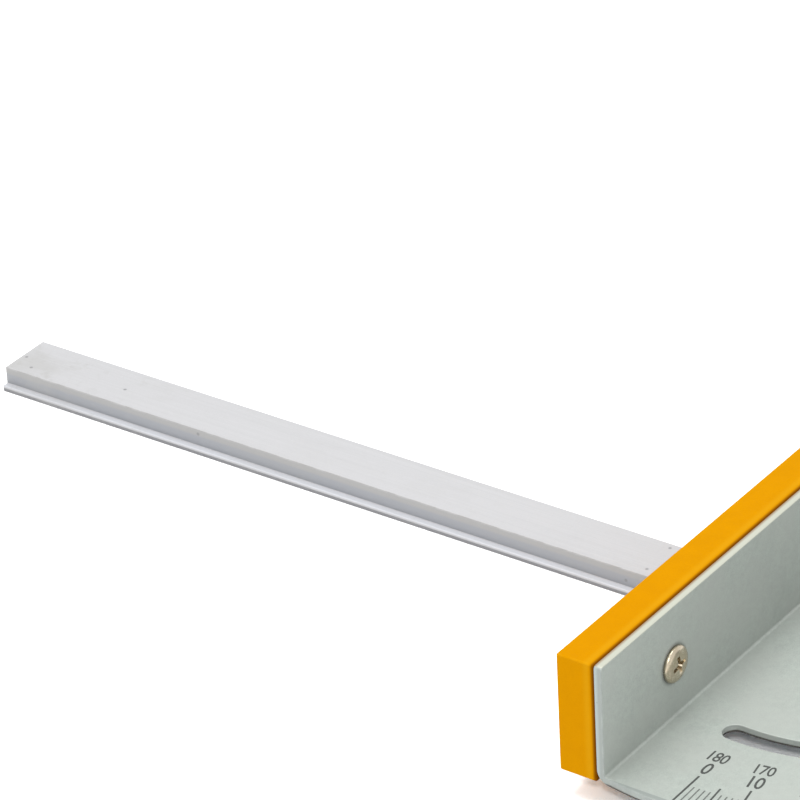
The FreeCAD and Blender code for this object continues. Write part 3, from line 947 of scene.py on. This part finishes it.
class GAUGE_OT_pivot(bpy.types.Operator):
    """Models the pivot's bolt, washer, lock nut and nylon ring"""

    bl_idname = "gauge.pivot"
    bl_label = "Pivot"

    def execute(self, context):
        colours = context.scene.gauge_colours
        metal = plated_finish("zinc_pivot", colours.zinc, (0, 0, 0), 0.26)
        nut_low, nut_high = BOX["pivot_nut"]
        cone, _, end = BOX["pivot_bolt"][1]
        shank = cone / 2
        thread = [(shank, nut_high.z - 0.6 * MM)]
        for level in (0.0, 0.8):
            thread += [(shank * 0.92, nut_high.z + (level - 0.2) * MM), (shank, nut_high.z + (level + 0.2) * MM)]
        bolt = turned("pivot_countersunk_bolt", (0, 0, 0),
                      [(cone * 0.97, 0), (cone, 0.15 * MM), (shank, shank)] + thread + [(shank * 0.8, end)])
        carve(bolt, rod("tool", 2.9 * MM, (0, 0, -MM), (0, 0, 2.6 * MM), 6))
        round_edges(bolt, 0.08 * MM, 2)
        finished(bolt, "bar", "zinc_steel", metal, "pivot_bolt")

        low, high = BOX["pivot_washer"]
        washer = self.washer("pivot_large_washer", low, high, 4.2 * MM, 0.3 * MM)
        finished(washer, "bar", "zinc_steel", metal, "pivot_washer")

        corner = (nut_high.x - nut_low.x) / 2
        tall = nut_high.z - nut_low.z
        nut = laid(rod("pivot_lock_nut", corner, (0, 0, nut_low.z), (0, 0, nut_high.z), 6),
                   about_z(radians(30)))
        envelope = turned("tool", (0, 0, nut_low.z),
                          [(corner * 0.88, 0), (corner * 1.01, 0.6 * MM), (corner * 1.01, tall - 2.1 * MM),
                           (6.4 * MM, tall - 1.2 * MM), (6.1 * MM, tall - 0.3 * MM), (5.7 * MM, tall)], 96)
        carve(nut, envelope, "INTERSECT")
        carve(nut, rod("tool", 4.05 * MM, (0, 0, nut_low.z - MM), (0, 0, nut_high.z + MM), 64))
        carve(nut, rod("tool", 5.4 * MM, (0, 0, nut_high.z - 2 * MM), (0, 0, nut_high.z + MM), 64))
        round_edges(nut, 0.04 * MM, 2, 30)
        finished(nut, "bar", "zinc_steel", metal, "pivot_nut")

        low, high = BOX["pivot_nut_ring"]
        ring = self.washer("nut_nylon_ring", low, high, 4.05 * MM, 0.25 * MM)
        finished(ring, "bar", "nylon_ring", nylon_finish(colours), "pivot_nut_ring")
        repaint("pivot_bush", metal)
        return {"FINISHED"}

    @staticmethod
    def washer(name, low, high, hole, ease):
        """A flat washer with eased edges that fills a CAD node's box."""
        centre = (low + high) / 2
        outer = (high.x - low.x) / 2
        thick = high.z - low.z
        stations = [(outer - ease, 0), (outer, ease), (outer, thick - ease), (outer - ease, thick),
                    (hole + ease * 0.7, thick), (hole, thick - ease * 0.7), (hole, ease * 0.7),
                    (hole + ease * 0.7, 0)]
        piece = turned(name, (centre.x, centre.y, low.z), stations, 72, hollow=True)
        round_edges(piece, 0.06 * MM, 2, 30)
        return piece


class GAUGE_OT_lock_knob(bpy.types.Operator):
    """Models the lock knob, its cap and its washer"""

    bl_idname = "gauge.lock_knob"
    bl_label = "Lock Knob"

    def execute(self, context):
        colours = context.scene.gauge_colours
        flutes = context.scene.gauge_sizes.knob_flutes
        low, high = BOX["knob_body"]
        cap_low, cap_high = BOX["knob_cap"]
        radius = (high.x - low.x) / 2
        axis = Vector((0, (cap_low.y + cap_high.y) / 2, 0))
        tall = high.z - low.z
        base = axis + Vector((0, 0, low.z))
        skirt, underside, pitch, flute_depth, crown_radius = 3.1 * MM, 0.58, 24, 2.2 * MM, 3.2 * MM
        outline = disc("knob_grip", base + Vector((0, 0, skirt)), radius, flutes * pitch)

        def from_flute(corner):
            turn = atan2(corner.co.y - axis.y, corner.co.x) - radians(90)
            step = round(turn / tau * flutes * pitch) % pitch
            return min(step, pitch - step)

        with editing(outline):
            for step in range(9):
                pick(outline, "VERT", lambda corner: from_flute(corner) == step)
                scaled(1 - flute_depth / radius * cos(pi * step / 18) ** 2, base)
            select_all()
            scaled(underside, base)
        turns = [radians(step) for step in range(0, 91, 9)]
        profile = [(radius * underside, skirt), (radius - 1.4 * MM, 5.2 * MM), (radius - 0.4 * MM, 5.7 * MM),
                   (radius, 6.6 * MM)]
        crown = [(radius - crown_radius * (1 - cos(turn)), tall - crown_radius * (1 - sin(turn)))
                 for turn in turns]
        knob = drawn_up(outline, base, profile + crown)
        seat = axis + Vector((0, 0, cap_low.z))
        carve(knob, rod("tool", 8.1 * MM, seat, seat + Vector((0, 0, 0.01)), 96))
        round_edges(knob, 0.3 * MM, 3, 60)
        boss = turned("tool", base, [(8.2 * MM, 0), (8.5 * MM, 0.3 * MM), (8.5 * MM, 4.2 * MM)], 96)
        carve(knob, boss, "UNION")
        with editing(knob):
            bpy.ops.mesh.remove_doubles(threshold=0.02 * MM)
            bpy.ops.mesh.dissolve_degenerate(threshold=0.005 * MM)
        bolt_low, bolt_high = BOX["knob_bolt"]
        pocket = rod("tool", (bolt_high.x - bolt_low.x) / 2 + 0.06 * MM, Vector((0, 0, bolt_high.z - 4 * MM)),
                     Vector((0, 0, seat.z + MM)), 6)
        carve(knob, laid(pocket, Matrix.Translation(axis) @ about_z(radians(30))))
        carve(knob, rod("tool", 3 * MM, base - Vector((0, 0, MM)), seat, 48))
        round_edges(knob, 0)
        plastic = moulded_finish("knob_plastic", colours.knob, 0.42, axis)
        finished(knob, "knob", "black_plastic", plastic, "knob_body")

        thick = cap_high.z - cap_low.z
        wide = (cap_high.x - cap_low.x) / 2
        dome = [(wide * cos(turn), thick - 0.5 * MM + 0.5 * MM * sin(turn))
                for turn in (radians(step) for step in range(0, 90, 10))]
        cap = turned("knob_cover", seat, [(wide * 0.98, 0), (wide, 0.2 * MM)] + dome + [(wide * 0.03, thick)], 96)
        round_edges(cap, 0.05 * MM, 2)
        gloss = moulded_finish("cap_plastic", colours.knob, 0.14, axis + Vector((0.05, 0, 0)))
        finished(cap, "knob", "black_cap", gloss, "knob_cap")

        low, high = BOX["lock_washer"]
        washer = GAUGE_OT_pivot.washer("clamp_washer", low, high, 3.2 * MM, 0.3 * MM)
        metal = plated_finish("zinc_clamp", colours.zinc, axis, 0.26)
        finished(washer, "clamp", "zinc_steel", metal, "lock_washer")
        repaint("knob_bolt", metal)
        return {"FINISHED"}


class GAUGE_OT_pointer(bpy.types.Operator):
    """Models the stepped pointer with its washer and screw"""

    bl_idname = "gauge.pointer"
    bl_label = "Pointer"

    def execute(self, context):
        colours = context.scene.gauge_colours
        low, high = BOX["pointer"]
        thick = 1.2 * MM
        riser = -(RIM_RADIUS + 1.6 * MM)
        strip = block("pointer_strip", low, (high.x, riser, low.z + thick))
        with editing(strip):
            bpy.ops.mesh.bisect(plane_co=(0, riser - thick, 0), plane_no=(0, 1, 0))
            pick(strip, "FACE", lambda face: face.normal.z > 0.5 and middle(face).y > riser - thick)
            extrude((0, 0, high.z - low.z - 2 * thick))
            extrude((0, 0, thick))
            pick(strip, "FACE", lambda face: face.normal.y > 0.5 and middle(face).z > high.z - thick)
            extrude((0, high.y - riser, 0))
            scaled(MM / (high.x - low.x), (0, high.y, high.z), 1)
        screw_low, screw_high = BOX["pointer_screw"]
        at_y = (screw_low.y + screw_high.y) / 2
        slot = block("tool", (-2.2 * MM, at_y - 4.2 * MM, low.z - MM), (2.2 * MM, at_y + 4.2 * MM, low.z + 2 * MM))
        with editing(slot):
            pick(slot, "EDGE", lambda edge: rise_of(edge) > MM)
            rounded(2.19 * MM, 10)
        carve(strip, slot)
        round_edges(strip, 0.18 * MM, 3, 30)
        metal = plated_finish("zinc_pointer", colours.zinc, (0, at_y, low.z), 0.28)
        finished(strip, "bar", "zinc_steel", metal, "pointer")

        washer = GAUGE_OT_pivot.washer("pointer_small_washer", *BOX["pointer_washer"], 2.2 * MM, 0.15 * MM)
        finished(washer, "bar", "zinc_steel", metal, "pointer_washer")
        seat = BOX["pointer_washer"][1].z
        screw = pan_screw("pointer_pan_screw", (screw_high.x - screw_low.x) / 2, screw_high.z - seat, 2 * MM,
                          seat - screw_low.z, radians(25))
        laid(screw, Matrix.Translation((0, at_y, seat)))
        nickel = plated_finish("nickel_plate_pointer", colours.nickel, (0, at_y, seat), 0.22)
        finished(screw, "bar", "nickel_screw", nickel, "pointer_screw")
        return {"FINISHED"}


class GAUGE_OT_studio(bpy.types.Operator):
    """Sets up the floor, the lights and the camera"""

    bl_idname = "gauge.studio"
    bl_label = "Studio"

    def execute(self, context):
        scene = context.scene
        studio = scene.gauge_studio
        activate(None)
        bpy.ops.mesh.primitive_plane_add(size=30, location=(0, 0, cad_box[0].z - 0.02 * MM))
        floor = settle("studio_floor")
        with editing(floor):
            bpy.ops.mesh.subdivide(number_cuts=3)
        floor.data.materials.append(floor_finish(scene.gauge_colours))

        world = bpy.data.worlds.new("studio_sky")
        world.use_nodes = True
        world.node_tree.nodes["Background"].inputs["Color"].default_value = (1.0, 1.0, 1.0, 1.0)
        world.node_tree.nodes["Background"].inputs["Strength"].default_value = studio.sky
        scene.world = world
        self.soft_light("key_light", (-0.10, 0.18, 1.15), 0.75, studio.key_power)
        self.soft_light("side_light", (-1.196, -0.733, 1.21), 0.2, studio.side_power)

        facing = about_z(-studio.heading) @ Matrix.Rotation(pi / 2 - studio.tilt, 4, "X") @ about_z(studio.roll)
        activate(None)
        bpy.ops.object.camera_add()
        camera = context.object
        camera.name = "gauge_camera"
        camera.matrix_world = (Matrix.Translation(studio.aim) @ facing
                               @ Matrix.Translation((0, 0, studio.distance)))
        camera.data.lens = studio.lens
        camera.data.sensor_width = 36
        camera.data.clip_start, camera.data.clip_end = 0.05, 50
        scene.camera = camera
        scene.view_settings.view_transform = "Standard"
        scene.view_settings.look = "None"
        return {"FINISHED"}

    @staticmethod
    def soft_light(name, place, size, power):
        activate(None)
        bpy.ops.object.light_add(type="AREA", location=place)
        light = bpy.context.object
        light.name = name
        light.data.shape = "DISK"
        light.data.size = size
        light.data.energy = power
        target = Vector((-0.03, 0.05, 0.02))
        light.rotation_euler = (Vector(place) - target).to_track_quat("Z", "Y").to_euler()


OPERATORS = (GAUGE_OT_guide_bar, GAUGE_OT_bracket, GAUGE_OT_facing_board, GAUGE_OT_board_screws,
             GAUGE_OT_scale, GAUGE_OT_pivot, GAUGE_OT_lock_knob, GAUGE_OT_pointer, GAUGE_OT_studio)
GROUPS = {"gauge_sizes": GaugeSizes, "gauge_colours": GaugeColours, "gauge_studio": GaugeStudio}


class GAUGE_PT_pieces(bpy.types.Panel):
    """Lists the gauge's pieces and settings"""

    bl_idname = "GAUGE_PT_pieces"
    bl_label = "Mitre Gauge"
    bl_space_type = "VIEW_3D"
    bl_region_type = "UI"
    bl_category = "Gauge"

    def draw(self, context):
        for name, group in GROUPS.items():
            box = self.layout.box()
            for setting in group.__annotations__:
                box.prop(getattr(context.scene, name), setting)
        for operator in OPERATORS:
            self.layout.operator(operator.bl_idname)


def register():
    for kind in (*GROUPS.values(), *OPERATORS, GAUGE_PT_pieces):
        bpy.utils.register_class(kind)
    for name, group in GROUPS.items():
        setattr(bpy.types.Scene, name, PointerProperty(type=group))


def unregister():
    for name in GROUPS:
        delattr(bpy.types.Scene, name)
    for kind in reversed((*GROUPS.values(), *OPERATORS, GAUGE_PT_pieces)):
        bpy.utils.unregister_class(kind)


def main():
    register()
    bpy.ops.gauge.guide_bar()
    bpy.ops.gauge.bracket()
    bpy.ops.gauge.facing_board()
    bpy.ops.gauge.board_screws()
    bpy.ops.gauge.scale()
    bpy.ops.gauge.pivot()
    bpy.ops.gauge.lock_knob()
    bpy.ops.gauge.pointer()
    bpy.ops.gauge.studio()


if __name__ == "__main__":
    main()
